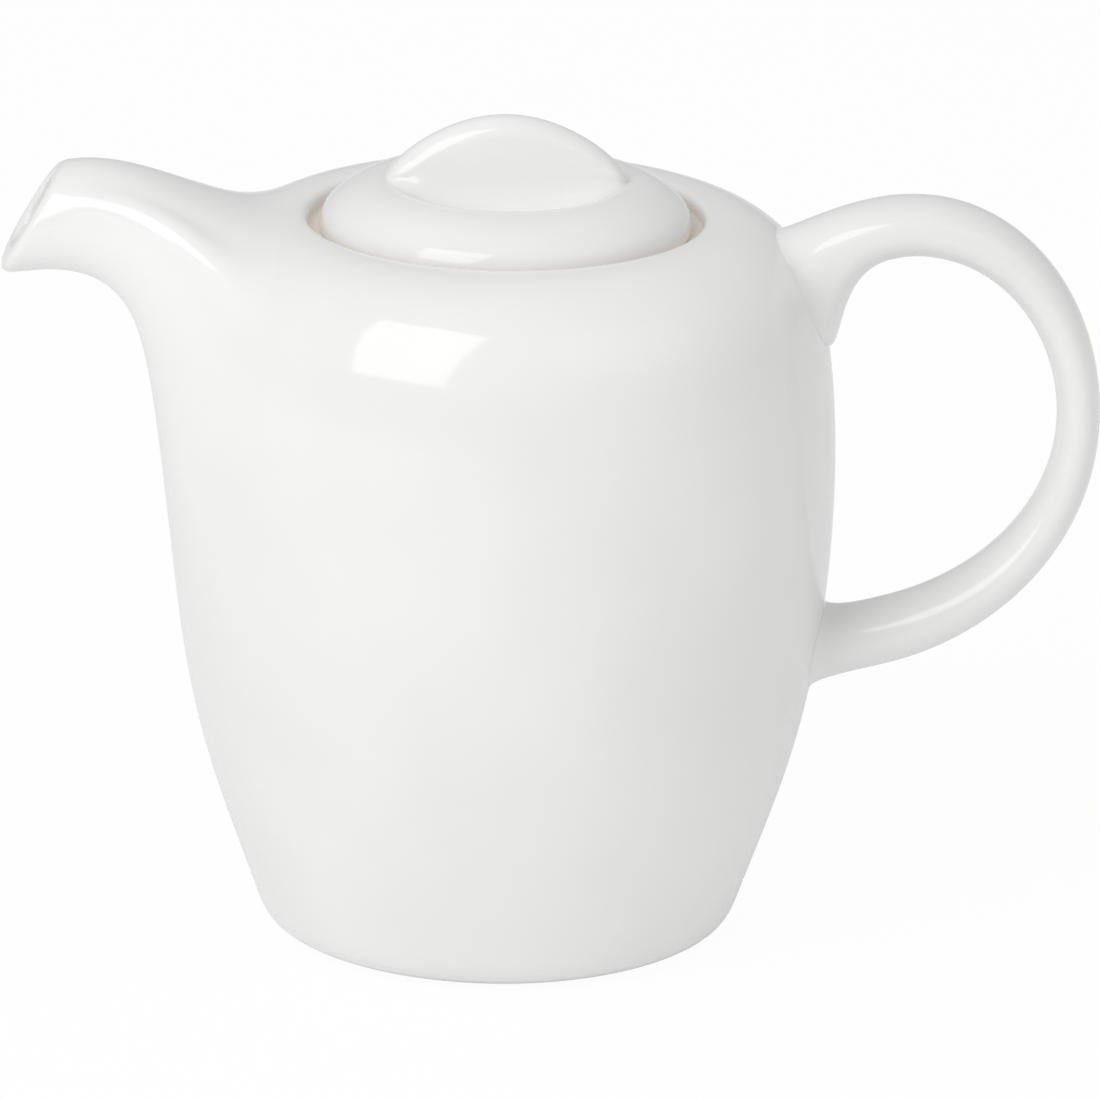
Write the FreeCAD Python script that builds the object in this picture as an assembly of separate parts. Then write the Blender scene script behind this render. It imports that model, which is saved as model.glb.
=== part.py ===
import FreeCAD, Part
import math
import os

# Coffee pot in glazed porcelain, millimetres. The pot stands on z = 0 with its turning
# axis on Z, the spout towards -X and the handle towards +X. Drops are measured down from
# the rim of the pot's mouth, rises up from it.

# Body: outer wall, from the foot up to the mouth
FOOT_RADIUS = 32.2
FOOT_RING_WIDTH = 3.2
FOOT_HOLLOW = 1.8
HEEL_RADIUS = 37.1
HEEL_HEIGHT = 2.5
ANKLE_RADIUS = 39.2
ANKLE_HEIGHT = 6.7
FLANK_RADIUS = 47.1
FLANK_HEIGHT = 29.9
BELLY_RADIUS = 53.1
BELLY_HEIGHT = 71.0
CHEST_INSET = 1.3
CHEST_DROP = 20.6
SHOULDER_INSET = 5.6
SHOULDER_DROP = 7.1
BROW_INSET = 11.0
BROW_DROP = 2.1
TERRACE_WIDTH = 5.0
TERRACE_DROP = 0.1
MOUTH_RADIUS = 31.5
MOUTH_HEIGHT = 118.2

# Body: inside and lid seat
WALL = 4.0
BASE_THICKNESS = 4.4
FLOOR_CORNER = 9.0
SEAT_DEPTH = 2.6
SEAT_WIDTH = 4.4
THROAT_LENGTH = 5.4
RIM_ROUND = 0.8
FOOT_ROUND = 0.7

# Spout
SPOUT_REACH = 28.1
SPOUT_CREST_RISE = 8.3
SPOUT_LIP_DROP = 10.6
SPOUT_SLANT = 11.2
SPOUT_MOUTH_WIDTH = 17.0
SPOUT_ROOT_WIDTH = 48.0
SPOUT_ROOT_DROP = 62.2
SPOUT_ROOT_BITE = 2.1
SPOUT_TOP_BITE = 18.0
SPOUT_TOP_SINK = 2.8
SPOUT_SWELL = 0.12
SPOUT_WALL = 2.8
SPOUT_LIP_ROUND = 1.1
SPOUT_HOLE_WIDTH = 21.0
SPOUT_HOLE_TOP_DROP = 9.8
SPOUT_HOLE_FOOT_DROP = 31.8
SPOUT_HOLE_BITE = 12.0
SPOUT_NECK_WIDTH = 23.8
SPOUT_STATIONS = 7

# How far the spout's lines run on, out and up, where they leave the body and reach the mouth
TOP_LEAVES = (-4.0, 6.6)
TOP_ARRIVES = (9.0, 1.4)
UNDER_LEAVES = (-8.8, 35.4)
UNDER_ARRIVES = (30.2, 4.8)
CHANNEL_TOP_LEAVES = (-8.0, 6.0)
CHANNEL_TOP_ARRIVES = (14.0, 0.5)
CHANNEL_UNDER_LEAVES = (-20.0, -0.9)
CHANNEL_UNDER_ARRIVES = (30.3, 7.3)

# Handle
HANDLE_REACH = 42.3
HANDLE_CREST_RISE = 4.3
HANDLE_CREST_OUT = 12.4
HANDLE_BEND_DROP = 33.2
HANDLE_FOOT_DROP = 71.8
HANDLE_FOOT_BITE = 9.1
HANDLE_ROOT_BITE = 8.0
HANDLE_ROOT_FALL = 16.7
HANDLE_ROOT_TURN = 12.0
HANDLE_ROOT_THICKNESS = 16.0
HANDLE_CREST_THICKNESS = 10.4
HANDLE_BEND_THICKNESS = 7.3
HANDLE_FOOT_THICKNESS = 12.5
HANDLE_ROOT_WIDTH = 16.0
HANDLE_CREST_WIDTH = 14.4
HANDLE_BEND_WIDTH = 12.4
HANDLE_FOOT_WIDTH = 15.6
HANDLE_STATIONS = 5

# Lid
LID_GAP = 2.0
LID_EDGE_RISE = 0.3
LID_EDGE_ROUND = 1.2
DOME_RISE = 5.7
DOME_BULGE = 1.6
HOLLOW_RADIUS = 18.6
HOLLOW_DEPTH = 4.0
LID_WALL = 3.8
COLLAR_CLEARANCE = 0.7
COLLAR_WALL = 3.0
COLLAR_DEPTH = 8.0

# Finger grip of the lid
GRIP_RISE = 10.6
GRIP_ARCH_RADIUS = 23.2
GRIP_THICKNESS = 7.0
GRIP_EDGE_ROUND = 3.3
GRIP_FLARE = 5.5

# Sections of spout and handle are ovals, a little squarer than an ellipse
OVAL_POINTS = 16
OVAL_POWER = 0.88

# Places that follow from the sizes
SEAT_HEIGHT = MOUTH_HEIGHT - SEAT_DEPTH
THROAT_RADIUS = MOUTH_RADIUS - SEAT_WIDTH
FLOOR_HEIGHT = FOOT_HOLLOW + BASE_THICKNESS
LID_RADIUS = MOUTH_RADIUS - LID_GAP
HOLLOW_RIM_HEIGHT = MOUTH_HEIGHT + DOME_RISE
HOLLOW_FLOOR_HEIGHT = HOLLOW_RIM_HEIGHT - HOLLOW_DEPTH
GRIP_TOP = HOLLOW_RIM_HEIGHT + GRIP_RISE

AXIS_FOOT = FreeCAD.Vector(0, 0, 0)
UP = FreeCAD.Vector(0, 0, 1)
ACROSS = FreeCAD.Vector(0, 1, 0)


def at(x, z):
    """Point of the XZ plane, the pot's plane of symmetry."""
    return FreeCAD.Vector(x, 0, z)


def curve(points):
    """Smooth curve through points."""
    line = Part.BSplineCurve()
    line.interpolate(points)
    return line


def straight(points):
    """Edges that join points in turn."""
    return [Part.LineSegment(a, b).toShape() for a, b in zip(points, points[1:])]


def turned(edges):
    """Solid of revolution about Z of a closed outline; its seam lies at the back."""
    face = Part.Face(Part.Wire(Part.__sortEdges__(edges)))
    face.rotate(AXIS_FOOT, UP, 90)
    return face.revolve(AXIS_FOOT, UP, 360)


def rounded(shape, radius, wanted):
    """Shape with the edges that wanted picks rounded to radius."""
    return shape.makeFillet(radius, [edge for edge in shape.Edges if wanted(edge)])


def is_circle(edge, radius, height):
    """Whether edge is a level circle about Z with this radius and height."""
    if edge.Degenerated or not isinstance(edge.Curve, Part.Circle):
        return False
    same_radius = math.isclose(edge.Curve.Radius, radius, abs_tol=1e-4)
    return same_radius and math.isclose(edge.Curve.Center.z, height, abs_tol=1e-4)


def bezier(a, b, c, d, share):
    """Point at share along the cubic curve with control points a, b, c and d."""
    rest = 1 - share
    return a * rest**3 + b * (3 * share * rest**2) + c * (3 * share**2 * rest) + d * share**3


def flattened(value):
    """Sine or cosine pushed outwards, which squares an oval a little."""
    return math.copysign(abs(value) ** OVAL_POWER, value)


def oval(inner, outer, half_width, swell=0.0):
    """Closed oval from inner to outer, half_width each way along Y, wider by swell at outer."""
    middle = (inner + outer) * 0.5
    reach = (outer - inner) * 0.5
    points = []
    for step in range(OVAL_POINTS):
        turn = 2 * math.pi * step / OVAL_POINTS
        along = flattened(math.cos(turn))
        side = flattened(math.sin(turn)) * half_width * (1 + swell * math.cos(turn))
        points.append(middle + reach * along + ACROSS * side)
    ring = Part.BSplineCurve()
    ring.interpolate(Points=points, PeriodicFlag=True)
    return Part.Wire(ring.toShape())


def wall_points():
    """Points of the body's outside between the foot and the mouth, from the ankle up."""
    return [
        at(ANKLE_RADIUS, ANKLE_HEIGHT),
        at(FLANK_RADIUS, FLANK_HEIGHT),
        at(BELLY_RADIUS, BELLY_HEIGHT),
        at(BELLY_RADIUS - CHEST_INSET, MOUTH_HEIGHT - CHEST_DROP),
        at(BELLY_RADIUS - SHOULDER_INSET, MOUTH_HEIGHT - SHOULDER_DROP),
        at(BELLY_RADIUS - BROW_INSET, MOUTH_HEIGHT - BROW_DROP),
    ]


def outer_line():
    """Outside of the body from the foot's edge to the mouth's rim."""
    base = [at(FOOT_RADIUS, 0), at(HEEL_RADIUS, HEEL_HEIGHT)]
    terrace = at(MOUTH_RADIUS + TERRACE_WIDTH, MOUTH_HEIGHT - TERRACE_DROP)
    return curve(base + wall_points() + [terrace, at(MOUTH_RADIUS, MOUTH_HEIGHT)])


def radius_at(line, height):
    """Radius of a wall line at one height."""
    level = Part.LineSegment(at(0, height), at(2 * BELLY_RADIUS, height))
    return line.intersectCC(level)[0].X


def inner_line(outside):
    """Inside of the body, one wall in from the outside, from the throat to the floor."""
    points = [at(THROAT_RADIUS, SEAT_HEIGHT - THROAT_LENGTH)]
    for mark in reversed(wall_points()[1:]):
        along = outside.tangent(outside.parameter(mark))[0]
        points.append(mark - at(along.z, -along.x) * WALL)
    points.append(at(radius_at(outside, FLOOR_HEIGHT) - WALL, FLOOR_HEIGHT))
    return curve(points)


def full_body():
    """The body as if it were solid, which spout and handle are cut against."""
    outside = outer_line()
    ends = [at(MOUTH_RADIUS, MOUTH_HEIGHT), at(0, MOUTH_HEIGHT), at(0, 0), at(FOOT_RADIUS, 0)]
    return turned([outside.toShape()] + straight(ends))


def pot_shell():
    """Body wall with foot ring, floor, throat and lid seat."""
    outside = outer_line()
    inside = inner_line(outside)
    foot_inner = FOOT_RADIUS - FOOT_RING_WIDTH
    seat = straight([
        at(MOUTH_RADIUS, MOUTH_HEIGHT),
        at(MOUTH_RADIUS, SEAT_HEIGHT),
        at(THROAT_RADIUS, SEAT_HEIGHT),
        at(THROAT_RADIUS, SEAT_HEIGHT - THROAT_LENGTH),
    ])
    base = straight([
        inside.EndPoint,
        at(0, FLOOR_HEIGHT),
        at(0, FOOT_HOLLOW),
        at(foot_inner, FOOT_HOLLOW),
        at(foot_inner, 0),
        at(FOOT_RADIUS, 0),
    ])
    shell = turned([outside.toShape(), inside.toShape()] + seat + base)
    floor_radius = inside.EndPoint.x
    shell = rounded(shell, RIM_ROUND, lambda edge: is_circle(edge, MOUTH_RADIUS, MOUTH_HEIGHT))
    shell = rounded(shell, RIM_ROUND, lambda edge: is_circle(edge, THROAT_RADIUS, SEAT_HEIGHT))
    shell = rounded(shell, FLOOR_CORNER, lambda edge: is_circle(edge, floor_radius, FLOOR_HEIGHT))
    return rounded(shell, FOOT_ROUND, lambda edge: is_circle(edge, foot_inner, 0))


def spout_lines():
    """Control points of the spout's top line and underside, from the body to its mouth."""
    crest = at(-BELLY_RADIUS - SPOUT_REACH + SPOUT_SLANT, MOUTH_HEIGHT + SPOUT_CREST_RISE)
    lip = at(-BELLY_RADIUS - SPOUT_REACH, MOUTH_HEIGHT - SPOUT_LIP_DROP)
    top_root = at(-BELLY_RADIUS + SPOUT_TOP_BITE, MOUTH_HEIGHT - SPOUT_TOP_SINK)
    foot_root = at(-BELLY_RADIUS + SPOUT_ROOT_BITE, MOUTH_HEIGHT - SPOUT_ROOT_DROP)
    top = [top_root, top_root + at(*TOP_LEAVES), crest + at(*TOP_ARRIVES), crest]
    under = [foot_root, foot_root + at(*UNDER_LEAVES), lip + at(*UNDER_ARRIVES), lip]
    return top, under


def spout_outside():
    """Spout as a solid beak, from inside the body to its slanted mouth."""
    top, under = spout_lines()
    root, neck, mouth = SPOUT_ROOT_WIDTH / 2, SPOUT_NECK_WIDTH / 2, SPOUT_MOUTH_WIDTH / 2
    rings = []
    for station in range(SPOUT_STATIONS):
        share = station / (SPOUT_STATIONS - 1)
        width = bezier(root, root, neck, mouth, share)
        ring = oval(bezier(*under, share), bezier(*top, share), width, SPOUT_SWELL)
        rings.append(ring)
    return Part.makeLoft(rings, True, False)


def spout_channel():
    """Way through the spout, from the pot's inside to beyond the mouth."""
    top, under = spout_lines()
    crest, lip = top[3], under[3]
    slant = (crest - lip).normalize()
    outward = at(-slant.z, slant.x)
    start = -BELLY_RADIUS + SPOUT_HOLE_BITE
    hole_top = at(start, MOUTH_HEIGHT - SPOUT_HOLE_TOP_DROP)
    hole_foot = at(start, MOUTH_HEIGHT - SPOUT_HOLE_FOOT_DROP)
    end_top = crest - slant * SPOUT_WALL
    end_foot = lip + slant * SPOUT_WALL
    upper = [hole_top, hole_top + at(*CHANNEL_TOP_LEAVES),
             end_top + at(*CHANNEL_TOP_ARRIVES), end_top]
    lower = [hole_foot, hole_foot + at(*CHANNEL_UNDER_LEAVES),
             end_foot + at(*CHANNEL_UNDER_ARRIVES), end_foot]
    hole = SPOUT_HOLE_WIDTH / 2
    neck = SPOUT_NECK_WIDTH / 2 - SPOUT_WALL
    mouth = SPOUT_MOUTH_WIDTH / 2 - SPOUT_WALL
    rings = []
    for station in range(SPOUT_STATIONS):
        share = station / (SPOUT_STATIONS - 1)
        width = bezier(hole, hole, neck, mouth, share)
        rings.append(oval(bezier(*lower, share), bezier(*upper, share), width))
    beyond = outward * SPOUT_WALL
    rings.append(oval(end_foot + beyond, end_top + beyond, mouth))
    return Part.makeLoft(rings, True, False)


def make_spout(body, channel):
    """Hollow beak with a rounded mouth, its root lying on the body's wall."""
    top, under = spout_lines()
    crest, lip = top[3], under[3]
    slant = (crest - lip).normalize()

    def is_lip(edge):
        ends = [edge.valueAt(mark) - lip for mark in edge.ParameterRange]
        ends.append(edge.CenterOfMass - lip)
        return all(abs(end.dot(at(-slant.z, slant.x))) < 1e-3 for end in ends)

    beak = spout_outside().cut(body).cut(channel)
    outermost = max(filter(is_lip, beak.Edges), key=lambda edge: edge.Length)
    return beak.makeFillet(SPOUT_LIP_ROUND, [outermost])


def handle_path():
    """Points, directions and sizes along the middle of the handle, root to foot."""
    crest = at(BELLY_RADIUS + HANDLE_CREST_OUT,
               MOUTH_HEIGHT + HANDLE_CREST_RISE - HANDLE_CREST_THICKNESS / 2)
    bend = at(BELLY_RADIUS + HANDLE_REACH - HANDLE_BEND_THICKNESS / 2,
              MOUTH_HEIGHT - HANDLE_BEND_DROP)
    foot = at(BELLY_RADIUS - HANDLE_FOOT_BITE, MOUTH_HEIGHT - HANDLE_FOOT_DROP)
    root_reach = HANDLE_CREST_OUT + HANDLE_ROOT_BITE
    sizes = [
        (HANDLE_ROOT_THICKNESS, HANDLE_ROOT_WIDTH),
        (HANDLE_CREST_THICKNESS, HANDLE_CREST_WIDTH),
        (HANDLE_BEND_THICKNESS, HANDLE_BEND_WIDTH),
        (HANDLE_FOOT_THICKNESS, HANDLE_FOOT_WIDTH),
    ]
    arcs = [
        (crest - at(0, HANDLE_ROOT_FALL), at(-root_reach, 0), at(0, HANDLE_ROOT_FALL)),
        (at(crest.x, bend.z), at(0, crest.z - bend.z), at(bend.x - crest.x, 0)),
        (at(foot.x, bend.z), at(bend.x - foot.x, 0), at(0, foot.z - bend.z)),
    ]
    stations = []
    for number, (centre, start, end) in enumerate(arcs):
        first = HANDLE_ROOT_TURN if number == 0 else 0.0
        for step in range(HANDLE_STATIONS):
            if number > 0 and step == 0:
                continue
            share = step / (HANDLE_STATIONS - 1)
            turn = math.radians(first + (90 - first) * share)
            place = centre + start * math.cos(turn) + end * math.sin(turn)
            along = end * math.cos(turn) - start * math.sin(turn)
            ease = share * share * (3 - 2 * share)
            pair = zip(sizes[number], sizes[number + 1])
            stations.append((place, along, [a + (b - a) * ease for a, b in pair]))
    return stations


def make_handle(body):
    """Ear handle of oval section, thick at its roots, its ends lying on the body's wall."""
    rings = []
    for place, along, (thickness, width) in handle_path():
        along.normalize()
        half = at(-along.z, along.x) * (thickness / 2)
        rings.append(oval(place - half, place + half, width / 2))
    return Part.makeLoft(rings, True, False).cut(body)


def lid_top():
    """Edges of the lid's upper side, from the axis over hollow and dome to its edge."""
    rim = at(HOLLOW_RADIUS, HOLLOW_RIM_HEIGHT)
    edge = at(LID_RADIUS, MOUTH_HEIGHT + LID_EDGE_RISE)
    floor = at(0, HOLLOW_FLOOR_HEIGHT)
    sphere = (HOLLOW_RADIUS**2 + HOLLOW_DEPTH**2) / (2 * HOLLOW_DEPTH)
    half_way = HOLLOW_RADIUS / 2
    dip = sphere - math.sqrt(sphere**2 - half_way**2)
    hollow = Part.Arc(floor, at(half_way, HOLLOW_FLOOR_HEIGHT + dip), rim)
    chord = (edge - rim).normalize()
    crown = (edge + rim) * 0.5 + at(-chord.z, chord.x) * DOME_BULGE
    return [hollow.toShape(), Part.Arc(rim, crown, edge).toShape()]


def make_lid():
    """Domed disc with a round finger hollow above and a locating collar below."""
    collar_outer = THROAT_RADIUS - COLLAR_CLEARANCE
    collar_inner = collar_outer - COLLAR_WALL
    collar_foot = SEAT_HEIGHT - COLLAR_DEPTH
    under = HOLLOW_FLOOR_HEIGHT - LID_WALL
    below = straight([
        at(LID_RADIUS, MOUTH_HEIGHT + LID_EDGE_RISE),
        at(LID_RADIUS, SEAT_HEIGHT),
        at(collar_outer, SEAT_HEIGHT),
        at(collar_outer, collar_foot),
        at(collar_inner, collar_foot),
        at(collar_inner, HOLLOW_RIM_HEIGHT - LID_WALL - DOME_BULGE),
        at(HOLLOW_RADIUS, HOLLOW_RIM_HEIGHT - LID_WALL - DOME_BULGE),
        at(HOLLOW_RADIUS - HOLLOW_DEPTH, under),
        at(0, under),
        at(0, HOLLOW_FLOOR_HEIGHT),
    ])
    lid = turned(lid_top() + below)
    edge_height = MOUTH_HEIGHT + LID_EDGE_RISE
    lid = rounded(lid, LID_EDGE_ROUND, lambda edge: is_circle(edge, LID_RADIUS, edge_height))
    return rounded(lid, RIM_ROUND, lambda edge: is_circle(edge, HOLLOW_RADIUS, HOLLOW_RIM_HEIGHT))


def make_grip():
    """Arched fin with a rounded ridge, flared where it stands in the lid's hollow."""
    half = GRIP_THICKNESS / 2
    base = HOLLOW_FLOOR_HEIGHT
    foot = base - LID_WALL / 2
    far = GRIP_ARCH_RADIUS
    lean = GRIP_FLARE * (1 - math.sqrt(0.5))

    def corner(y, z):
        return FreeCAD.Vector(-far, y, z)

    edges = []
    for side in (-1, 1):
        edges += straight([
            corner(0, foot),
            corner(side * (half + GRIP_FLARE), foot),
            corner(side * (half + GRIP_FLARE), base),
        ])
        edges.append(Part.Arc(
            corner(side * (half + GRIP_FLARE), base),
            corner(side * (half + lean), base + lean),
            corner(side * half, base + GRIP_FLARE),
        ).toShape())
        edges += straight([
            corner(side * half, base + GRIP_FLARE),
            corner(side * half, GRIP_TOP + GRIP_FLARE),
            corner(0, GRIP_TOP + GRIP_FLARE),
        ])
    section = Part.Face(Part.Wire(Part.__sortEdges__(edges)))
    slab = section.extrude(FreeCAD.Vector(2 * far, 0, 0))
    width = GRIP_THICKNESS + 2 * GRIP_FLARE
    arch = Part.makeCylinder(GRIP_ARCH_RADIUS, 2 * width,
                             FreeCAD.Vector(0, -width, GRIP_TOP - GRIP_ARCH_RADIUS), ACROSS)
    fin = slab.common(arch)

    def is_ridge(edge):
        return edge.BoundBox.ZMax > base + GRIP_FLARE and isinstance(edge.Curve, Part.Circle)

    fin = rounded(fin, GRIP_EDGE_ROUND, is_ridge)
    seat = turned(lid_top() + straight([
        at(LID_RADIUS, MOUTH_HEIGHT + LID_EDGE_RISE),
        at(LID_RADIUS, 0),
        at(0, 0),
        at(0, HOLLOW_FLOOR_HEIGHT),
    ]))
    return fin.cut(seat)


def main():
    os.makedirs("parts", exist_ok=True)
    body = full_body()
    channel = spout_channel()
    pieces = {
        "pot_body": pot_shell().cut(channel),
        "spout": make_spout(body, channel),
        "handle": make_handle(body),
        "lid": make_lid(),
        "lid_grip": make_grip(),
    }
    for name, shape in pieces.items():
        shape.exportStep(os.path.join("parts", name + ".step"))
        box = shape.BoundBox
        print(name, shape.isValid(), len(shape.Solids), round(shape.Volume, 1),
              [round(v, 2) for v in (box.XMin, box.YMin, box.ZMin, box.XMax, box.YMax, box.ZMax)])


main()
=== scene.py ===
import math

import bmesh
import bpy
import numpy as np
from mathutils import Matrix, Vector


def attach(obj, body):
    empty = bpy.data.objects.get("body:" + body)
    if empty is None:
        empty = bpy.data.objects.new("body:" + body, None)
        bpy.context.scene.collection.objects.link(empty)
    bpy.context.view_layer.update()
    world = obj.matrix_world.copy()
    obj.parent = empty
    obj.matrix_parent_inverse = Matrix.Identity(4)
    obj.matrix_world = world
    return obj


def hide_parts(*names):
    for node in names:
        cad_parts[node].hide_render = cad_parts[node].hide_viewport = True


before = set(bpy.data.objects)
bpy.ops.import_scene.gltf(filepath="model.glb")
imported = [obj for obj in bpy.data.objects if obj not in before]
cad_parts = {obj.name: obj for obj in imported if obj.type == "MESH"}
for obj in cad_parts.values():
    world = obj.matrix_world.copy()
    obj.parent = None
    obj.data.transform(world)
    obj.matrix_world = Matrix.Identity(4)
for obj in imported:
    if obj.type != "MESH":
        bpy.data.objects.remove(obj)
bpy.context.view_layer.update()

# White porcelain coffee pot. Sizes are millimetres until a mesh is made; the pot stands on
# z = 0 with its turning axis on Z, the spout towards -X and the handle towards +X.
MM = 0.001

# Pot body: outside of the wall as (radius, height), from the foot's edge to the mouth's rim
WALL_POINTS = [(32.2, 0.0), (37.1, 2.5), (39.2, 6.7), (47.1, 29.9), (53.05, 71.0),
               (51.8, 97.6), (47.5, 111.1), (42.1, 116.1), (36.5, 118.1), (31.5, 118.2)]
WALL = 4.0
FOOT_RING_WIDTH = 3.2
FOOT_HOLLOW = 1.8
FLOOR_HEIGHT = 6.2
FLOOR_CORNER = 9.0
SEAT_HEIGHT = 115.6
BARE_BELOW_MOUTH = 0.9
BARE_PAST_MOUTH = 0.6
THROAT_RADIUS = 27.1
THROAT_LENGTH = 5.4
BODY_ROW = 1.1
BODY_COLUMNS = 256

# Joints on the wall lie a hair above it and close a little below it
SKIN = 0.02
SADDLE_SINK = 0.4

# Hole through the wall into the spout
HOLE_HEIGHT = 99.0
HOLE_HALF_HEIGHT = 10.5
HOLE_HALF_WIDTH = 10.5
HOLE_FRAME_ROWS = 15
HOLE_FRAME_COLUMNS = 13

# Spout: footprint on the wall, slanted mouth, and how its lines leave and arrive.
# Fours are values at the top, the ridge, the side and the foot of its oval, threes leave out
# the ridge.
SPOUT_ROOT_HEIGHT = 102.0
SPOUT_ROOT_FOOT = 54.0
SPOUT_ROOT_TOP_RADIUS = 35.6
SPOUT_ROOT_HALF_ANGLE = 43.5
SPOUT_CREST = (-70.93, 125.62)
SPOUT_LIP = (-81.52, 107.41)
SPOUT_MOUTH_HALF_WIDTH = 8.6
SPOUT_MARKS = (0, 62, 100, 180)
SPOUT_LEAVE = (8.5, 15.8, 17.9, 55.8)
SPOUT_ARRIVE = ((11.0, 0.0, 1.9), (19.4, -1.2, 2.6), (25.7, -2.2, 2.2), (20.5, 0.0, 3.5))
SPOUT_RIDGE = 1.2
SPOUT_RIDGE_SPREAD = 15.0
SPOUT_RIM_ROUND = (1.6, 1.8, 4.2)
SPOUT_RIM_WALL = (3.2, 3.4, 6.0)
SPOUT_RIM_INNER_ROUND = 1.4
CHANNEL_LEAVE = ((13.0, 0.0, 0.5), (13.0, 0.0, -1.0), (20.0, 0.0, 2.0))
CHANNEL_ARRIVE = ((-9.0, 0.0, 6.0), (-9.0, 0.0, 4.0), (-1.0, 0.0, 12.0))
SPOUT_COLUMNS = 128

# Handle: middle line of three elliptic arcs, with thickness and width at their ends
HANDLE_CREST = (65.47, 117.2)
HANDLE_BEND = (91.74, 85.9)
HANDLE_FOOT = (49.5, 48.25)
HANDLE_ROOT_REACH = 20.4
HANDLE_ROOT_FALL = 16.7
HANDLE_SIZES = [(15.0, 16.0), (9.25, 14.4), (6.9, 12.4), (10.2, 15.6)]
HANDLE_START = 0.88
HANDLE_END = 0.8
HANDLE_COLUMNS = 64

# Roots of the handle: reach on the wall, how far their lines follow the wall and stand off it at
# the outer side, the flanks and the inner side, and how far they run straight into the handle
TOP_ROOT_HEIGHT = 98.0
TOP_ROOT_RADIUS = 42.9
TOP_ROOT_HALF_WIDTH = 13.0
TOP_ROOT_LEAVE = (1.6, 5.5, -1.8)
TOP_ROOT_LIFT = (1.2, 0.0, 2.2)
TOP_ROOT_ARRIVE = 9.9
LOW_ROOT_HEIGHTS = (40.9, 54.4)
LOW_ROOT_HALF_WIDTH = 11.5
LOW_ROOT_LEAVE = (1.2, 4.0, 1.8)
LOW_ROOT_ARRIVE = 6.0

# Lid: seat, dome, finger hollow and collar
LID_RADIUS = 29.5
LID_EDGE_HEIGHT = 118.5
HOLLOW_RADIUS = 18.3
HOLLOW_RIM_HEIGHT = 123.9
HOLLOW_DEPTH = 5.0
HOLLOW_POWER = 3.4
DOME_BULGE = 1.6
COLLAR_RADIUS = 26.4
COLLAR_WALL = 3.0
COLLAR_DEPTH = 8.0
LID_WALL = 3.8
LID_COLUMNS = 192

# Finger grip: arched fin standing in the hollow
GRIP_TOP = 134.4
GRIP_ARCH_FALL = 0.0238
GRIP_HALF_LENGTH = 19.3
GRIP_HALF_THICKNESS = 3.5
GRIP_FLARE = 5.5


def linear(hex_colour):
    """Linear RGBA of an sRGB hex colour."""
    parts = [int(hex_colour[i:i + 2], 16) / 255 for i in (0, 2, 4)]
    return [c / 12.92 if c <= 0.04045 else ((c + 0.055) / 1.055) ** 2.4 for c in parts] + [1.0]


def smooth_line(points, spacing):
    """Natural cubic spline through points over their chord length, sampled about spacing apart."""
    points = np.asarray(points, float)
    knots = np.concatenate([[0], np.cumsum(np.linalg.norm(np.diff(points, axis=0), axis=1))])
    gaps = np.diff(knots)
    inner = np.arange(1, len(points) - 1)
    matrix = np.eye(len(points))
    matrix[inner, inner - 1] = gaps[:-1]
    matrix[inner, inner] = 2 * (gaps[:-1] + gaps[1:])
    matrix[inner, inner + 1] = gaps[1:]
    right = np.zeros_like(points)
    right[inner] = 6 * np.diff(np.diff(points, axis=0) / gaps[:, None], axis=0)
    bend = np.linalg.solve(matrix, right)
    marks = np.linspace(0, knots[-1], int(knots[-1] / spacing) + 1)
    k = np.clip(np.searchsorted(knots, marks, side="right") - 1, 0, len(points) - 2)
    h = gaps[k][:, None]
    a = (knots[k + 1] - marks)[:, None]
    b = (marks - knots[k])[:, None]
    cubic = (bend[k] * a**3 + bend[k + 1] * b**3) / (6 * h)
    return cubic + (points[k] / h - bend[k] * h / 6) * a + (points[k + 1] / h - bend[k + 1] * h / 6) * b


def run_of(line):
    """Distance along a sampled line at each of its points."""
    return np.concatenate([[0], np.cumsum(np.linalg.norm(np.diff(line, axis=0), axis=1))])


def cut(line, start, end):
    """The stretch of a line that leaves off start at its beginning and end at its end."""
    run = run_of(line)
    low, high = start, run[-1] - end
    marks = np.concatenate([[low], run[(run > low + 1e-6) & (run < high - 1e-6)], [high]])
    return np.stack([np.interp(marks, run, line[:, c]) for c in range(line.shape[1])], -1)


def joined(lines, reaches, steps=6):
    """Lines end to end, each meeting corner rounded by a parabola that starts reach before it."""
    lines = [np.asarray(line, float) for line in lines]
    share = np.linspace(0, 1, steps + 1)[1:-1, None]
    befores = [0.0] + list(reaches)
    afters = list(reaches) + [0.0]
    pieces = []
    for number, line in enumerate(lines):
        piece = cut(line, befores[number], afters[number])
        if pieces:
            corner = line[0]
            start, end = pieces[-1][-1], piece[0]
            pieces.append((1 - share)**2 * start + 2 * share * (1 - share) * corner + share**2 * end)
        pieces.append(piece)
    return np.concatenate(pieces)


def bulged(a, b, bulge, count):
    """Circular arc from a to b that stands bulge off its chord, to the left of the way a to b."""
    a, b = np.asarray(a, float), np.asarray(b, float)
    half = np.linalg.norm(b - a) / 2
    radius = (half**2 + bulge**2) / (2 * bulge)
    along = (b - a) / (2 * half)
    left = np.array([-along[1], along[0]])
    centre = (a + b) / 2 + left * (bulge - radius)
    turn = np.linspace(-1, 1, count)[:, None] * math.asin(half / radius)
    return centre + radius * (np.sin(turn) * along + np.cos(turn) * left)


def flow(start, leave, arrive, end, count):
    """Cubic Bezier from each start point to its end point, as rows of a grid."""
    share = np.linspace(0, 1, count)[:, None, None]
    rest = 1 - share
    return start * rest**3 + leave * (3 * share * rest**2) + arrive * (3 * share**2 * rest) + end * share**3


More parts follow.
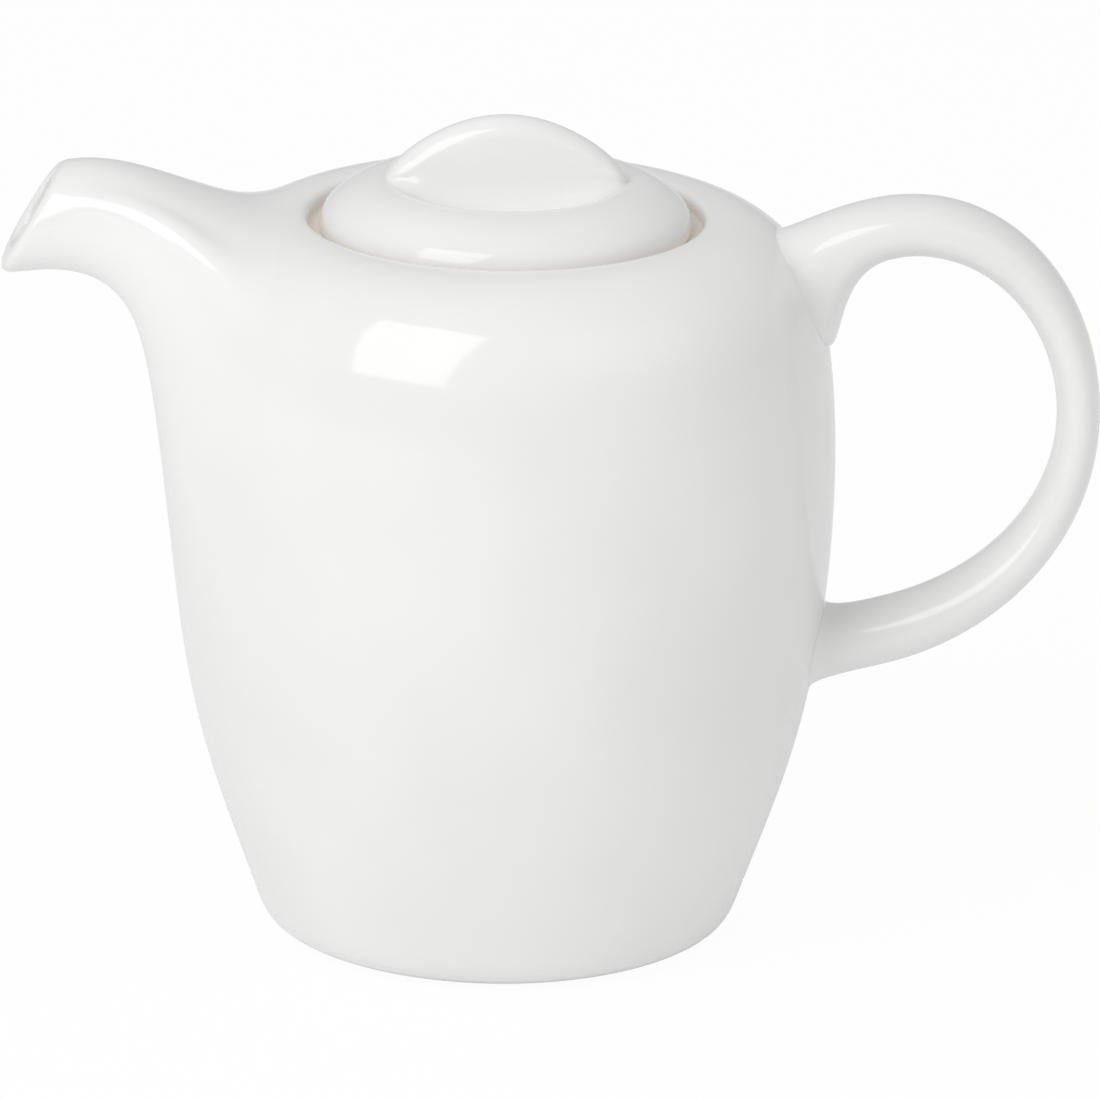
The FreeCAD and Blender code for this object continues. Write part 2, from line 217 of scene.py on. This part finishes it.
def ring_turns(columns, push=0.035):
    """Up and side of a closed oval at even turns: cosine and sine, pushed out on the diagonals."""
    turn = np.arange(columns) * 2 * math.pi / columns
    reach = 1 + push / 2 * (1 - np.cos(4 * turn))
    return np.cos(turn) * reach, np.sin(turn) * reach


def between(up, top, side, foot):
    """Blend of a top, side and foot value round an oval by the square of its height."""
    high = np.clip(up, 0, 1)[:, None]**2
    low = np.clip(-up, 0, 1)[:, None]**2
    top, side, foot = (np.atleast_1d(np.asarray(v, float)) for v in (top, side, foot))
    return side + (top - side) * high + (foot - side) * low


def round_oval(turn, values):
    """Cosine series in the turn round an oval that takes the values given at the spout's marks."""
    orders = np.arange(len(SPOUT_MARKS))
    waves = np.cos(np.outer(np.radians(SPOUT_MARKS), orders))
    return np.cos(np.outer(turn, orders)) @ np.linalg.solve(waves, np.asarray(values, float))


def grid_faces(rows, columns, close_rows=False, first=0):
    """Quads of a grid whose columns run round; with close_rows its last row meets its first."""
    row = np.arange(rows if close_rows else rows - 1)[:, None]
    column = np.arange(columns)[None, :]
    after, beside = (row + 1) % rows, (column + 1) % columns
    corners = [row * columns + column, row * columns + beside,
               after * columns + beside, after * columns + column]
    return np.stack(np.broadcast_arrays(*corners), -1).reshape(-1, 4) + first


def make_piece(name, points, faces, material_index=None, normals=None, caps=()):
    """Mesh object from millimetre points, quads and closing caps, smooth, with normals outward.

    Without normals, points that fall together are merged. With normals, each point takes the
    one given for it, or its own where that is zero, so that a joint shades like what it lies on.
    """
    mesh = bpy.data.meshes.new(name)
    mesh.from_pydata((np.asarray(points) * MM).tolist(), [], faces.tolist() + [list(cap) for cap in caps])
    if material_index is not None:
        mesh.polygons.foreach_set("material_index", material_index)
    work = bmesh.new()
    work.from_mesh(mesh)
    if normals is None:
        bmesh.ops.remove_doubles(work, verts=work.verts, dist=1e-7)
    bmesh.ops.recalc_face_normals(work, faces=work.faces)
    work.to_mesh(mesh)
    work.free()
    mesh.polygons.foreach_set("use_smooth", np.ones(len(mesh.polygons), bool))
    if normals is not None:
        mesh.normals_split_custom_set_from_vertices(normals.tolist())
    mesh.update()
    piece = bpy.data.objects.new(name, mesh)
    bpy.context.scene.collection.objects.link(piece)
    return piece


# Pot body
outer_line = smooth_line(WALL_POINTS, BODY_ROW)
outer_run = run_of(outer_line)
outer_slope = np.gradient(outer_line, outer_run, axis=0)
FOOT_RADIUS = WALL_POINTS[0][0]
MOUTH_RADIUS, MOUTH_HEIGHT = WALL_POINTS[-1]


def on_wall(azimuth, run, sink=0.0):
    """Point of the body's outside at an azimuth and a run up the wall, and its two directions.

    The wall is the outer line turned about Z; sink moves the point inwards along the normal.
    """
    radius, height = (np.interp(run, outer_run, outer_line[:, c]) for c in (0, 1))
    slope = [np.interp(run, outer_run, outer_slope[:, c]) for c in (0, 1)]
    length = np.hypot(*slope)
    cos, sin = np.cos(azimuth), np.sin(azimuth)
    up = np.stack([slope[0] * cos, slope[0] * sin, slope[1]], -1) / length[..., None]
    round_ = np.stack([-sin, cos, 0 * cos], -1)
    normal = np.cross(round_, up)
    place = np.stack([radius * cos, radius * sin, height], -1) - normal * sink
    return place, up, round_, normal


def run_at_height(height):
    """Run up the wall at which the outside reaches a height."""
    return np.interp(height, outer_line[:, 1], outer_run)


def run_at_radius(radius):
    """Run up the wall at which the shoulder has drawn in to a radius."""
    above = outer_line[:, 1] > WALL_POINTS[4][1]
    return np.interp(-radius, -outer_line[above, 0], outer_run[above])


def inner_points():
    """Points one wall in from the outside, from the throat down to the floor's corner."""
    points = [(THROAT_RADIUS, SEAT_HEIGHT - THROAT_LENGTH)]
    for radius, height in reversed(WALL_POINTS[3:-2]):
        place, _, _, _ = on_wall(np.array(0.0), run_at_height(height), WALL)
        points.append((place[0], place[2]))
    radius = np.interp(FLOOR_HEIGHT, outer_line[:, 1], outer_line[:, 0]) - WALL
    return points + [(radius, FLOOR_HEIGHT)]


def body_profile():
    """Closed half section of the body, from the middle of its underside to the middle of its floor."""
    foot_inner = FOOT_RADIUS - FOOT_RING_WIDTH
    inside = smooth_line(inner_points(), BODY_ROW)
    lines = [
        [(0, FOOT_HOLLOW), (foot_inner, FOOT_HOLLOW)],
        [(foot_inner, FOOT_HOLLOW), (foot_inner, 0)],
        [(foot_inner, 0), (FOOT_RADIUS, 0)],
        outer_line,
        [(MOUTH_RADIUS, MOUTH_HEIGHT), (MOUTH_RADIUS, SEAT_HEIGHT)],
        [(MOUTH_RADIUS, SEAT_HEIGHT), (THROAT_RADIUS, SEAT_HEIGHT)],
        [(THROAT_RADIUS, SEAT_HEIGHT), inside[0]],
        inside,
        [inside[-1], (0, FLOOR_HEIGHT)],
    ]
    return joined(lines, [0.8, 0.5, 0.3, 1.6, 0.5, 0.8, 1.5, FLOOR_CORNER])


def turned(profile, columns):
    """Grid of a profile turned about Z, rows along the profile and columns round."""
    turn = np.arange(columns) * 2 * math.pi / columns
    radius, height = profile[:, :1], profile[:, 1:]
    return np.stack([radius * np.cos(turn), radius * np.sin(turn), height + 0 * turn], -1)


def make_body():
    """Turned wall pierced by an oval hole: round the hole the grid is drawn from a square frame
    of its own vertices in to the oval, on the outside and on the inside, and a short tube joins
    the two ovals."""
    profile = body_profile()
    points = turned(profile, BODY_COLUMNS)
    rows = len(profile)
    keep = np.ones((rows - 1, BODY_COLUMNS), bool)
    top_row = int(np.argmax(profile[:, 1] + (np.arange(rows) < rows // 2)))
    middle = BODY_COLUMNS / 2
    n, m = HOLE_FRAME_ROWS, HOLE_FRAME_COLUMNS
    low = [(-n, i) for i in range(-m, m)]
    right = [(j, m) for j in range(-n, n)]
    high = [(n, -i) for i in range(-m, m)]
    left = [(-j, -m) for j in range(-n, n)]
    square = np.array(low + right + high + left, float)
    half_columns = HOLE_HALF_WIDTH / (2 * math.pi * WALL_POINTS[5][0]) * BODY_COLUMNS
    half_rows = HOLE_HALF_HEIGHT / BODY_ROW
    scaled = square / [half_rows, half_columns]
    oval = square / np.linalg.norm(scaled, axis=1)[:, None]
    share = np.linspace(0, 1, 9)[:, None, None]
    frame_grid = square * (1 - share) + oval * share
    all_points, all_faces = [points.reshape(-1, 3)], []
    count = rows * BODY_COLUMNS
    rims = []
    for way, span in ((1, np.arange(top_row)), (-1, np.arange(top_row, rows))):
        centre = span[np.argmin(np.abs(profile[span, 1] - HOLE_HEIGHT) + 99 * (profile[span, 0] < 30))]
        row = centre + way * frame_grid[..., 0]
        azimuth = (middle + frame_grid[..., 1]) * 2 * math.pi / BODY_COLUMNS
        radius, height = (np.interp(row, np.arange(rows), profile[:, c]) for c in (0, 1))
        patch = np.stack([radius * np.cos(azimuth), radius * np.sin(azimuth), height], -1)
        keep[centre - n:centre + n, int(middle) - m:int(middle) + m] = False
        all_points.append(patch.reshape(-1, 3))
        all_faces.append(grid_faces(len(share), len(square), first=count))
        count += patch.shape[0] * patch.shape[1]
        rims.append(patch[-1])
    share = np.linspace(0, 1, 7)[:, None, None]
    tube = rims[0] * (1 - share) + rims[1] * share
    all_points.append(tube.reshape(-1, 3))
    all_faces.append(grid_faces(len(share), len(square), first=count))
    wall_faces = grid_faces(rows, BODY_COLUMNS)[keep.reshape(-1)]
    faces = np.concatenate([wall_faces] + all_faces)
    row_of = wall_faces[:, 0] // BODY_COLUMNS
    radius, height = profile[:-1].T
    flat = np.abs(np.diff(profile[:, 1])) < 0.02
    foot = flat & (height < 0.1)
    wiped = (height > SEAT_HEIGHT - 0.1) & (height < MOUTH_HEIGHT - BARE_BELOW_MOUTH)
    seat = wiped & (radius < MOUTH_RADIUS + BARE_PAST_MOUTH)
    bare = foot | seat
    index = np.zeros(len(faces), int)
    index[:len(wall_faces)] = bare[row_of]
    return make_piece("pot_body_glazed", np.concatenate(all_points), faces, index)


def bent(start, corner, end, count):
    """Rows of a parabola from start to end that would meet in corner, ends left out."""
    share = np.linspace(0, 1, count + 2)[1:-1, None, None]
    return start * (1 - share)**2 + corner * (2 * share * (1 - share)) + end * share**2


def make_spout():
    """Closed sheet in the form of a ring: saddle on the wall, outside of the beak, rounded rim,
    channel. The outside runs along cubic curves that leave the wall along its surface and reach
    the slanted mouth along the pour."""
    up, side = ring_turns(SPOUT_COLUMNS)
    root_run = run_at_height(SPOUT_ROOT_HEIGHT)
    climb = run_at_radius(SPOUT_ROOT_TOP_RADIUS) - root_run
    fall = root_run - run_at_height(SPOUT_ROOT_FOOT)
    run = root_run + np.where(up > 0, climb, fall) * up
    azimuth = math.pi + math.radians(SPOUT_ROOT_HALF_ANGLE) * side
    root, uphill, round_, normal = on_wall(azimuth, run, -SKIN)
    radius = np.hypot(root[:, 0], root[:, 1])
    down = np.where(up > 0, up**2, 1) * (root_run - run)
    inward = uphill * down[:, None] + round_ * ((math.pi - azimuth) * radius)[:, None]
    inward /= np.linalg.norm(inward, axis=1)[:, None]
    turn = np.arange(SPOUT_COLUMNS) * 2 * math.pi / SPOUT_COLUMNS
    leave = root + inward * round_oval(turn, SPOUT_LEAVE)[:, None]
    crest = np.array([SPOUT_CREST[0], 0, SPOUT_CREST[1]])
    lip = np.array([SPOUT_LIP[0], 0, SPOUT_LIP[1]])
    slant = (crest - lip) / np.linalg.norm(crest - lip)
    across = np.array([0, -1.0, 0])
    half = np.linalg.norm(crest - lip) / 2

    def mouth_ring(inset):
        """Oval in the plane of the mouth, inset from its outline."""
        return ((crest + lip) / 2 + slant * (half - inset) * up[:, None]
                + across * (SPOUT_MOUTH_HALF_WIDTH - inset) * side[:, None])

    mirror = np.stack([np.ones_like(up), side, np.ones_like(up)], -1)
    back = round_oval(turn, SPOUT_ARRIVE) * mirror
    back_way = back / np.linalg.norm(back, axis=1)[:, None]
    rim_round, rim_wall = between(up, *SPOUT_RIM_ROUND), between(up, *SPOUT_RIM_WALL)
    corner = mouth_ring(0)
    rim_outer = corner + back_way * rim_round
    rim_inner = mouth_ring(rim_round)
    into = between(up, *CHANNEL_LEAVE)
    into_way = into / np.linalg.norm(into, axis=1)[:, None]
    channel_corner = mouth_ring(rim_wall)
    channel_edge = mouth_ring(rim_wall - SPOUT_RIM_INNER_ROUND)
    channel_start = channel_corner + into_way * SPOUT_RIM_INNER_ROUND
    hole_run = run_at_height(HOLE_HEIGHT) + HOLE_HALF_HEIGHT * up
    hole_azimuth = math.pi + HOLE_HALF_WIDTH / WALL_POINTS[5][0] * side
    hole = on_wall(hole_azimuth, hole_run, WALL / 2)[0]
    channel_end = hole + between(up, *CHANNEL_ARRIVE)
    share = np.linspace(0, 1, 10)[:, None]
    saddle = on_wall(hole_azimuth * (1 - share) + azimuth * share,
                     hole_run * (1 - share) + run * share, SADDLE_SINK)[0]
    outside = flow(root, leave, rim_outer + back, rim_outer, 56)
    away = np.cross(np.gradient(outside, axis=0), np.roll(outside, -1, 1) - np.roll(outside, 1, 1))
    away /= np.linalg.norm(away, axis=2, keepdims=True)
    from_ridge = np.degrees(np.minimum(turn, 2 * math.pi - turn)) - SPOUT_MARKS[1]
    share = np.linspace(0, 1, len(outside))[:, None]
    rise = np.clip(share / 0.5, 0, 1)
    window = rise**2 * (3 - 2 * rise) * np.clip((1 - share) / 0.12, 0, 1)
    outside += away * (SPOUT_RIDGE * window * np.exp(-(from_ridge / SPOUT_RIDGE_SPREAD)**2))[..., None]
    sheet = np.concatenate([
        saddle,
        outside,
        bent(rim_outer, corner, rim_inner, 9),
        [rim_inner, channel_edge],
        bent(channel_edge, channel_corner, channel_start, 4),
        flow(channel_start, channel_start + into, channel_end, hole, 40),
    ])
    normals = np.zeros_like(sheet)
    normals[len(saddle)] = normal
    faces = grid_faces(len(sheet), SPOUT_COLUMNS, close_rows=True)
    return make_piece("spout_glazed", sheet.reshape(-1, 3), faces, normals=normals.reshape(-1, 3))


def handle_station(part, share):
    """Middle points, directions, half thickness and half width on one of the handle's arcs.

    Each arc is a quarter ellipse; sizes ease from one end to the other.
    """
    crest, bend, foot = (np.array([x, 0, z]) for x, z in (HANDLE_CREST, HANDLE_BEND, HANDLE_FOOT))
    x, z = np.array([1.0, 0, 0]), np.array([0, 0, 1.0])
    arcs = [
        (crest - HANDLE_ROOT_FALL * z, -HANDLE_ROOT_REACH * x, HANDLE_ROOT_FALL * z),
        (np.array([crest[0], 0, bend[2]]), (crest - bend)[2] * z, (bend - crest)[0] * x),
        (np.array([foot[0], 0, bend[2]]), (bend - foot)[0] * x, (foot - bend)[2] * z),
    ]
    centre, start, end = arcs[part]
    turn = np.asarray(share)[:, None] * math.pi / 2
    place = centre + start * np.cos(turn) + end * np.sin(turn)
    along = end * np.cos(turn) - start * np.sin(turn)
    along /= np.linalg.norm(along, axis=1)[:, None]
    ease = np.asarray(share)**2 * (3 - 2 * np.asarray(share))
    first, last = HANDLE_SIZES[part:part + 2]
    thick, wide = ((a + (b - a) * ease) / 2 for a, b in zip(first, last))
    return place, along, thick, wide


def make_handle():
    """Oval carried along the middle line; at both ends it flows out on to the body's wall along
    cubic curves that leave the wall along its surface, and closes a little inside it."""
    up, side = ring_turns(HANDLE_COLUMNS)
    spans = [handle_station(0, np.linspace(HANDLE_START, 1, 14)), handle_station(1, np.linspace(0, 1, 48)[1:]),
             handle_station(2, np.linspace(0, HANDLE_END, 52)[1:])]
    place, along, thick, wide = (np.concatenate(parts) for parts in zip(*spans))
    outer = np.stack([-along[:, 2], 0 * along[:, 0], along[:, 0]], -1)
    across = np.array([0, -1.0, 0])
    tube = (place[:, None] + outer[:, None] * (thick[:, None] * up)[..., None]
            + across * (wide[:, None] * side)[..., None])

    def root(low, high, half_width, flip, ring, way, leave_length, leave_lift, arrive_length):
        """Rows from under the wall, over the footprint, to the handle's first ring, and the
        wall's normals on the footprint."""
        middle = (low + high) / 2
        run = middle + flip * (high - low) / 2 * up
        spread = half_width / np.interp(middle, outer_run, outer_line[:, 0])
        azimuth = -spread * side
        start, uphill, round_, normal = on_wall(azimuth, run, -SKIN)
        radius = np.hypot(start[:, 0], start[:, 1])
        inward = uphill * (middle - run)[:, None] + round_ * (-azimuth * radius)[:, None]
        inward /= np.linalg.norm(inward, axis=1)[:, None]
        leave = start + inward * between(up, *leave_length) + normal * between(up, *leave_lift)
        rows = flow(start, leave, ring + way * arrive_length, ring, 18)
        sunk = on_wall(azimuth, run, SADDLE_SINK)[0]
        soft = (between(up, *leave_lift) < 0.5) * normal
        normals = np.concatenate([np.zeros_like(sunk)[None], soft[None], np.zeros_like(rows[1:-1])])
        return np.concatenate([[sunk], rows[:-1]]), normals

    low, high = run_at_height(TOP_ROOT_HEIGHT), run_at_radius(TOP_ROOT_RADIUS)
    top, top_normals = root(low, high, TOP_ROOT_HALF_WIDTH, 1,
                            tube[0], -along[0], TOP_ROOT_LEAVE, TOP_ROOT_LIFT, TOP_ROOT_ARRIVE)
    low, high = (run_at_height(height) for height in LOW_ROOT_HEIGHTS)
    foot, foot_normals = root(low, high, LOW_ROOT_HALF_WIDTH, -1,
                              tube[-1], along[-1], LOW_ROOT_LEAVE, (0, 0, 0), LOW_ROOT_ARRIVE)
    sheet = np.concatenate([top, tube, foot[::-1]])
    normals = np.concatenate([top_normals, np.zeros_like(tube), foot_normals[::-1]])
    faces = grid_faces(len(sheet), HANDLE_COLUMNS)
    last = sheet.shape[0] * HANDLE_COLUMNS
    caps = [range(HANDLE_COLUMNS), range(last - HANDLE_COLUMNS, last)]
    return make_piece("handle_glazed", sheet.reshape(-1, 3), faces, normals=normals.reshape(-1, 3), caps=caps)


# Lid
def hollow_height(radius):
    """Height of the finger hollow at a radius: a bowl that rises with a power of the radius."""
    return HOLLOW_RIM_HEIGHT - HOLLOW_DEPTH * (1 - (radius / HOLLOW_RADIUS)**HOLLOW_POWER)


def lid_top():
    """Upper side of the lid: hollow, its soft rim, and the dome down to the edge."""
    radius = np.linspace(0, HOLLOW_RADIUS, 30)
    hollow = np.stack([radius, hollow_height(radius)], -1)
    dome = bulged((HOLLOW_RADIUS, HOLLOW_RIM_HEIGHT), (LID_RADIUS, LID_EDGE_HEIGHT), DOME_BULGE, 26)
    return joined([hollow, dome], [1.0])


def make_lid():
    """Half section of hollow, dome, edge, seat and collar turned about Z."""
    collar_inner = COLLAR_RADIUS - COLLAR_WALL
    collar_foot = SEAT_HEIGHT - COLLAR_DEPTH
    under = HOLLOW_RIM_HEIGHT - HOLLOW_DEPTH - LID_WALL
    eave = HOLLOW_RIM_HEIGHT - LID_WALL - DOME_BULGE
    lines = [
        lid_top(),
        [(LID_RADIUS, LID_EDGE_HEIGHT), (LID_RADIUS, SEAT_HEIGHT)],
        [(LID_RADIUS, SEAT_HEIGHT), (COLLAR_RADIUS, SEAT_HEIGHT)],
        [(COLLAR_RADIUS, SEAT_HEIGHT), (COLLAR_RADIUS, collar_foot)],
        [(COLLAR_RADIUS, collar_foot), (collar_inner, collar_foot)],
        [(collar_inner, collar_foot), (collar_inner, eave)],
        [(collar_inner, eave), (HOLLOW_RADIUS, eave)],
        [(HOLLOW_RADIUS, eave), (HOLLOW_RADIUS - HOLLOW_DEPTH, under)],
        [(HOLLOW_RADIUS - HOLLOW_DEPTH, under), (0, under)],
    ]
    profile = joined(lines, [1.6, 0.6, 0.6, 1.2, 1.2, 1.5, 1.5, 2.5])
    points = turned(profile, LID_COLUMNS)
    faces = grid_faces(len(profile), LID_COLUMNS)
    flat = np.abs(np.diff(profile[:, 1])) < 0.02
    bare = flat & (np.abs(profile[:-1, 1] - SEAT_HEIGHT) < 0.1)
    return make_piece("lid_glazed", points.reshape(-1, 3), faces, bare[faces[:, 0] // LID_COLUMNS].astype(int))


def make_grip():
    """Fin across the hollow. Along X its ridge is an arch; across Y each section rises from the
    lid's surface in a hollow flank, stands upright and closes in a round ridge."""
    top_line = lid_top()

    def lid_height(x, y):
        return np.interp(np.hypot(x, y), top_line[:, 0], top_line[:, 1])

    def column(values):
        return values[:, None]

    x = GRIP_HALF_LENGTH * np.sin(np.linspace(-math.pi / 2, math.pi / 2, 97))
    taper = np.sqrt(np.clip(1 - (x / GRIP_HALF_LENGTH)**16, 0, 1))
    floor = lid_height(x, 0 * x)
    rise = np.clip(GRIP_TOP - GRIP_ARCH_FALL * x**2 - floor, 0.05, None) * taper + 0.05
    ridge = floor + rise
    half = GRIP_HALF_THICKNESS * taper + 0.02
    crown = np.minimum(GRIP_HALF_THICKNESS, 0.5 * rise)
    foot_y = half + np.minimum(GRIP_FLARE, 0.75 * rise)
    foot_z = lid_height(x, foot_y)
    share = np.linspace(0, 1, 20)[None, :]
    rest = 1 - share
    knee_z = ridge - crown
    lean_y = foot_y + (half - foot_y) * 0.62
    lean_z = lid_height(x, lean_y)
    flank_y = (column(foot_y) * rest**3 + column(lean_y) * 3 * share * rest**2
               + column(half) * 3 * share**2 * rest + column(half) * share**3)
    flank_z = (column(foot_z) * rest**3 + column(lean_z) * 3 * share * rest**2
               + column((knee_z + foot_z) / 2) * 3 * share**2 * rest + column(knee_z) * share**3)
    turn = np.linspace(0, math.pi, 25)[None, 1:-1]
    ridge_y = column(half) * np.cos(turn)
    ridge_z = column(knee_z) + column(crown) * np.sin(turn)
    sunk = np.linspace(-1, 1, 9)[None, :]
    base_y = column(foot_y) * sunk
    base_z = lid_height(column(x), base_y) - 0.6
    loop_y = np.concatenate([flank_y, ridge_y, -flank_y[:, ::-1], base_y], 1)
    loop_z = np.concatenate([flank_z, ridge_z, flank_z[:, ::-1], base_z], 1)
    sheet = np.stack([np.broadcast_to(column(x), loop_y.shape), loop_y, loop_z], -1)
    reach = np.hypot(x, foot_y)
    slope = (lid_height(reach + 0.05, 0) - lid_height(reach - 0.05, 0)) / 0.1
    on_lid = np.stack([-slope * x / reach, -slope * foot_y / reach, 1 + 0 * x], -1)
    on_lid /= np.linalg.norm(on_lid, axis=1)[:, None]
    normals = np.zeros_like(sheet)
    normals[:, 0] = on_lid
    normals[:, 2 * flank_y.shape[1] + ridge_y.shape[1] - 1] = on_lid * [1, -1, 1]
    columns = loop_y.shape[1]
    last = len(sheet) * columns
    return make_piece("lid_grip_glazed", sheet.reshape(-1, 3), grid_faces(len(sheet), columns),
                      normals=normals.reshape(-1, 3), caps=(range(columns), range(last - columns, last)))


# Materials
def add_node(tree, kind, settings=None, links=None):
    """New node with its settings, and links from output sockets to its inputs."""
    node = tree.nodes.new(kind)
    for name, value in (settings or {}).items():
        if isinstance(name, int) or name in node.inputs:
            node.inputs[name].default_value = value
        else:
            setattr(node, name, value)
    for name, socket in (links or {}).items():
        tree.links.new(socket, node.inputs[name])
    return node


def new_material(name):
    """Empty node material, its tree and its Principled shader."""
    material = bpy.data.materials.new(name)
    material.use_nodes = True
    tree = material.node_tree
    return material, tree, tree.nodes["Principled BSDF"]


def glazed_porcelain():
    """Hard porcelain under a clear feldspar glaze, fired to a wet gloss: plain white,
    with faint drifts of tone and the slow ripple that the glaze keeps from being poured."""
    material, tree, shader = new_material("glazed_porcelain")
    place = add_node(tree, "ShaderNodeTexCoord").outputs["Object"]
    drift = add_node(tree, "ShaderNodeTexNoise", {"Scale": 1 / (35 * MM), "Detail": 2.0}, {"Vector": place})
    tone = add_node(tree, "ShaderNodeValToRGB", links={"Fac": drift.outputs["Fac"]})
    tone.color_ramp.elements[0].position = 0.35
    tone.color_ramp.elements[0].color = linear("EAEAE9")
    tone.color_ramp.elements[1].position = 0.65
    tone.color_ramp.elements[1].color = linear("EEEEED")
    ripple = add_node(tree, "ShaderNodeTexNoise", {"Scale": 1 / (14 * MM), "Detail": 1.0}, {"Vector": place})
    bump = add_node(tree, "ShaderNodeBump", {"Strength": 0.12, "Distance": 0.15 * MM},
                    {"Height": ripple.outputs["Fac"]})
    tree.links.new(tone.outputs["Color"], shader.inputs["Base Color"])
    tree.links.new(bump.outputs["Normal"], shader.inputs["Normal"])
    shader.inputs["Roughness"].default_value = 0.09
    shader.inputs["IOR"].default_value = 1.5
    return material


def bare_biscuit():
    """Fired porcelain wiped clean of glaze where it stands or is stood on in the kiln: matt,
    a little creamier, with a fine sandy grain."""
    material, tree, shader = new_material("unglazed_porcelain_biscuit")
    place = add_node(tree, "ShaderNodeTexCoord").outputs["Object"]
    grain = add_node(tree, "ShaderNodeTexNoise", {"Scale": 1 / (0.6 * MM), "Detail": 3.0}, {"Vector": place})
    tone = add_node(tree, "ShaderNodeValToRGB", links={"Fac": grain.outputs["Fac"]})
    tone.color_ramp.elements[0].color = linear("ECE4D8")
    tone.color_ramp.elements[1].color = linear("F4EEE5")
    bump = add_node(tree, "ShaderNodeBump", {"Strength": 0.4, "Distance": 0.05 * MM},
                    {"Height": grain.outputs["Fac"]})
    tree.links.new(tone.outputs["Color"], shader.inputs["Base Color"])
    tree.links.new(bump.outputs["Normal"], shader.inputs["Normal"])
    shader.inputs["Roughness"].default_value = 0.75
    return material


def dress():
    """Makes the pieces, gives them their finish and sets each on its body."""
    glaze, biscuit = glazed_porcelain(), bare_biscuit()
    pieces = [
        (make_body(), "pot_body", "pot"),
        (make_spout(), "spout", "pot"),
        (make_handle(), "handle", "pot"),
        (make_lid(), "lid", "lid"),
        (make_grip(), "lid_grip", "lid"),
    ]
    for piece, node, body in pieces:
        piece.data.materials.append(glaze)
        piece.data.materials.append(biscuit)
        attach(piece, body)
        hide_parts(node)


# Stage, light and camera
ELEVATION = math.radians(17.234)
ROLL = math.radians(0.7435)
TARGET = Vector((0, 0, 0.0672))
DISTANCE = 1.9996
LENS = 409.0
SENSOR = 36.0
PHOTO_SIZE = 1100
TARGET_PIXEL = (501.9, 520.35)


def aim(place, target):
    """World matrix of a camera or lamp at place, looking at target with its top up."""
    turn = (Vector(target) - Vector(place)).to_track_quat("-Z", "Y")
    return Matrix.Translation(place) @ turn.to_matrix().to_4x4()


def add_camera():
    """Camera at the photograph's height and distance, rolled as it was held."""
    data = bpy.data.cameras.new("camera")
    data.lens = LENS
    data.sensor_width = SENSOR
    data.shift_x = 0.5 - TARGET_PIXEL[0] / PHOTO_SIZE
    data.shift_y = TARGET_PIXEL[1] / PHOTO_SIZE - 0.5
    data.clip_end = 50
    camera = bpy.data.objects.new("camera", data)
    bpy.context.scene.collection.objects.link(camera)
    back = Vector((0, -math.cos(ELEVATION), math.sin(ELEVATION)))
    camera.matrix_world = aim(TARGET + back * DISTANCE, TARGET) @ Matrix.Rotation(ROLL, 4, "Z")
    bpy.context.scene.camera = camera


def add_softbox(name, azimuth, elevation, distance, size, power):
    """Rectangular lamp aimed at the pot; azimuth 0 is the camera's side, positive to the right."""
    data = bpy.data.lights.new(name, "AREA")
    data.shape = "RECTANGLE"
    data.size, data.size_y = size
    data.energy = power
    lamp = bpy.data.objects.new(name, data)
    bpy.context.scene.collection.objects.link(lamp)
    a, e = math.radians(azimuth), math.radians(elevation)
    way = Vector((math.sin(a) * math.cos(e), -math.cos(a) * math.cos(e), math.sin(e)))
    lamp.matrix_world = aim(TARGET + way * distance, TARGET)


def add_stage():
    """Pale floor and a white surround that lights the pot evenly."""
    size, level = 6.0, -0.02 * MM
    corners = [(-size, -size, level), (size, -size, level), (size, size, level), (-size, size, level)]
    mesh = bpy.data.meshes.new("floor")
    mesh.from_pydata(corners, [], [(0, 1, 2, 3)])
    floor = bpy.data.objects.new("floor", mesh)
    bpy.context.scene.collection.objects.link(floor)
    material, tree, shader = new_material("white_floor")
    shader.inputs["Base Color"].default_value = linear("FAFAFA")
    shader.inputs["Roughness"].default_value = 0.9
    rays = add_node(tree, "ShaderNodeLightPath")
    white = add_node(tree, "ShaderNodeEmission", {"Color": (1, 1, 1, 1), "Strength": 1.0})
    share = add_node(tree, "ShaderNodeMath", {"operation": "MULTIPLY_ADD", 1: 0.77, 2: 0.18},
                     {0: rays.outputs["Is Camera Ray"]})
    mix = add_node(tree, "ShaderNodeMixShader",
                   links={0: share.outputs[0], 1: shader.outputs[0], 2: white.outputs[0]})
    tree.links.new(mix.outputs[0], tree.nodes["Material Output"].inputs["Surface"])
    mesh.materials.append(material)
    world = bpy.data.worlds.new("surround")
    bpy.context.scene.world = world
    world.use_nodes = True
    tree = world.node_tree
    rays = add_node(tree, "ShaderNodeLightPath")
    back = tree.nodes["Background"]
    way = add_node(tree, "ShaderNodeTexCoord").outputs["Generated"]
    height = add_node(tree, "ShaderNodeSeparateXYZ", links={0: way}).outputs["Z"]
    sky = add_node(tree, "ShaderNodeMapRange", {"To Min": 0.545, "To Max": 0.68}, {"Value": height})
    level = add_node(tree, "ShaderNodeMapRange", {"To Max": 1.0},
                     {"Value": rays.outputs["Is Camera Ray"], "To Min": sky.outputs["Result"]})
    back.inputs["Color"].default_value = (1, 1, 1, 1)
    tree.links.new(level.outputs["Result"], back.inputs["Strength"])


dress()
add_stage()
add_softbox("key_softbox", -38, 37, 1.3, (0.84, 1.1), 7.2)
add_softbox("fill_softbox", 51, 37, 1.5, (1.25, 0.95), 1.3)
add_camera()
bpy.context.scene.view_settings.view_transform = "Standard"
